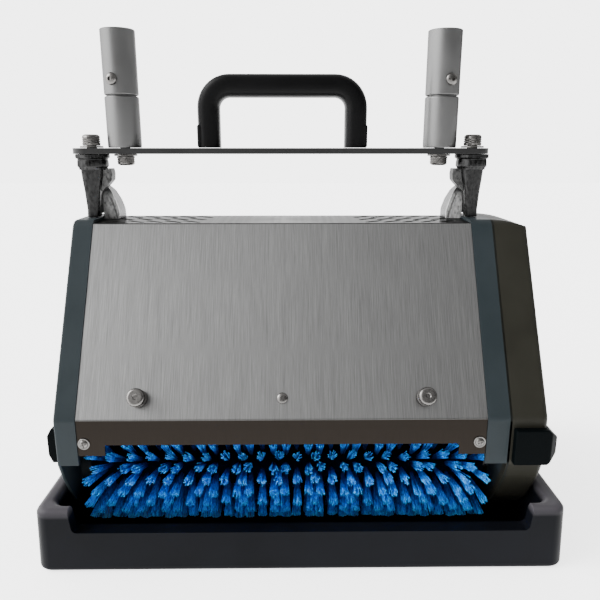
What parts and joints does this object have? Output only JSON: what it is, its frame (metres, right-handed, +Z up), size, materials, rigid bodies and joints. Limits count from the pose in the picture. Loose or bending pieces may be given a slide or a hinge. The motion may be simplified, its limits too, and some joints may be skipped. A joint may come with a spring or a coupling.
{
  "type": "twin cylindrical brush floor scrubbing machine",
  "caption": "Compact floor scrubbing machine with counter-rotating cylindrical brushes under a folded stainless cover, a tilting handle frame with carry handle, parked in a docking tray.",
  "frame": {"origin": "on the ground at the middle of the docking tray's footprint", "axes": "+X to the belt-cover side, -Y to the front, where the panel has its buttons, +Z up"},
  "size_m": [0.4968, 0.3116, 0.4972],
  "materials": {
    "tray_plastic": "fine moulded grain, semi-matt",
    "cast_paint": "satin paint on cast aluminium",
    "drive_cover_paint": "satin paint",
    "black_rubber": "matt",
    "stainless": "fine vertical grain",
    "bright_steel": "plated",
    "motor_paint": "matt",
    "black_plastic": "fine grain",
    "ear_alloy": "fine cast",
    "chrome": "polished over a casting",
    "bar_paint": "satin",
    "tube_paint": "satin metallic",
    "brush_core": "moulded",
    "bristle": "nylon filament",
    "gear_plastic": "machined"
  },
  "bodies": {
    "tray": {"docking_tray": "tray_plastic"},
    "chassis": {"end_casting_left": "cast_paint", "end_casting_right": "cast_paint", "drive_cover": "drive_cover_paint", "bumper_front_left": "black_rubber", "bumper_front_right": "black_rubber", "bumper_rear_left": "black_rubber", "bumper_rear_right": "black_rubber", "top_cover": "stainless", "cover_stud_left": "bright_steel", "cover_stud_right": "bright_steel", "cover_screw": "bright_steel", "tab_screw_front_left": "bright_steel", "tab_screw_front_right": "bright_steel", "tab_screw_rear_left": "bright_steel", "tab_screw_rear_right": "bright_steel", "splash_deck": "stainless", "tie_rod_front": "bright_steel", "tie_rod_rear": "bright_steel", "brush_bearing_front_left": "bright_steel", "brush_bearing_front_right": "bright_steel", "brush_bearing_rear_left": "bright_steel", "brush_bearing_rear_right": "bright_steel", "idler_pin_front": "bright_steel", "idler_pin_rear": "bright_steel", "motor_housing": "motor_paint", "motor_end_bell": "motor_paint", "motor_bearing_plate": "motor_paint", "motor_cradle": "bright_steel", "pivot_ear_left": "ear_alloy", "pivot_ear_right": "ear_alloy", "pivot_pin_left": "bright_steel", "pivot_pin_right": "bright_steel", "drive_belt": "black_rubber"},
    "brush_front": {"brush_core_front": "brush_core", "bristles_front": "bristle", "brush_gear_front": "gear_plastic"},
    "brush_rear": {"brush_core_rear": "brush_core", "bristles_rear": "bristle", "brush_gear_rear": "gear_plastic"},
    "idler_front": {"idler_gear_front": "gear_plastic", "driven_pulley": "bright_steel"},
    "idler_rear": {"idler_gear_rear": "gear_plastic"},
    "motor_shaft": {"motor_rotor": "bright_steel", "motor_pulley": "bright_steel", "cooling_fan": "black_plastic"},
    "handle_frame": {"arm_left": "chrome", "arm_right": "chrome", "cross_bar": "bar_paint", "arm_bolt_left": "bright_steel", "arm_bolt_right": "bright_steel", "tube_bolt_left": "bright_steel", "tube_bolt_right": "bright_steel", "lower_tube_left": "tube_paint", "lower_tube_right": "tube_paint", "upper_tube_left": "tube_paint", "upper_tube_right": "tube_paint", "tube_screw_left": "bright_steel", "tube_screw_right": "bright_steel", "carry_handle": "black_plastic"}
  },
  "joints": [
    {"name": "machine_lift", "type": "slide", "parent": "tray", "child": "chassis", "axis": [0, 0, 1], "range_m": [0, 0.12]},
    {"name": "handle_tilt", "type": "hinge", "parent": "chassis", "child": "handle_frame", "pos_m": [-0.0175, 0.018, 0.331], "axis": [-1, 0, 0], "range_deg": [0, 75]},
    {"name": "brush_spin_front", "type": "hinge", "parent": "chassis", "child": "brush_front", "pos_m": [-0.0175, -0.066, 0.065], "axis": [1, 0, 0], "continuous": true},
    {"name": "brush_spin_rear", "type": "hinge", "parent": "chassis", "child": "brush_rear", "pos_m": [-0.0175, 0.066, 0.065], "axis": [1, 0, 0], "continuous": true},
    {"name": "idler_spin_front", "type": "hinge", "parent": "chassis", "child": "idler_front", "pos_m": [-0.0175, -0.022, 0.065], "axis": [1, 0, 0], "continuous": true},
    {"name": "idler_spin_rear", "type": "hinge", "parent": "chassis", "child": "idler_rear", "pos_m": [-0.0175, 0.022, 0.065], "axis": [1, 0, 0], "continuous": true},
    {"name": "motor_spin", "type": "hinge", "parent": "chassis", "child": "motor_shaft", "pos_m": [-0.0175, 0, 0.214], "axis": [1, 0, 0], "continuous": true}
  ],
  "couplings": [
    {"joint": "idler_spin_front", "follows": "brush_spin_front", "ratio": -1},
    {"joint": "idler_spin_rear", "follows": "brush_spin_front", "ratio": 1},
    {"joint": "brush_spin_rear", "follows": "brush_spin_front", "ratio": -1},
    {"joint": "motor_spin", "follows": "brush_spin_front", "ratio": -2}
  ]
}
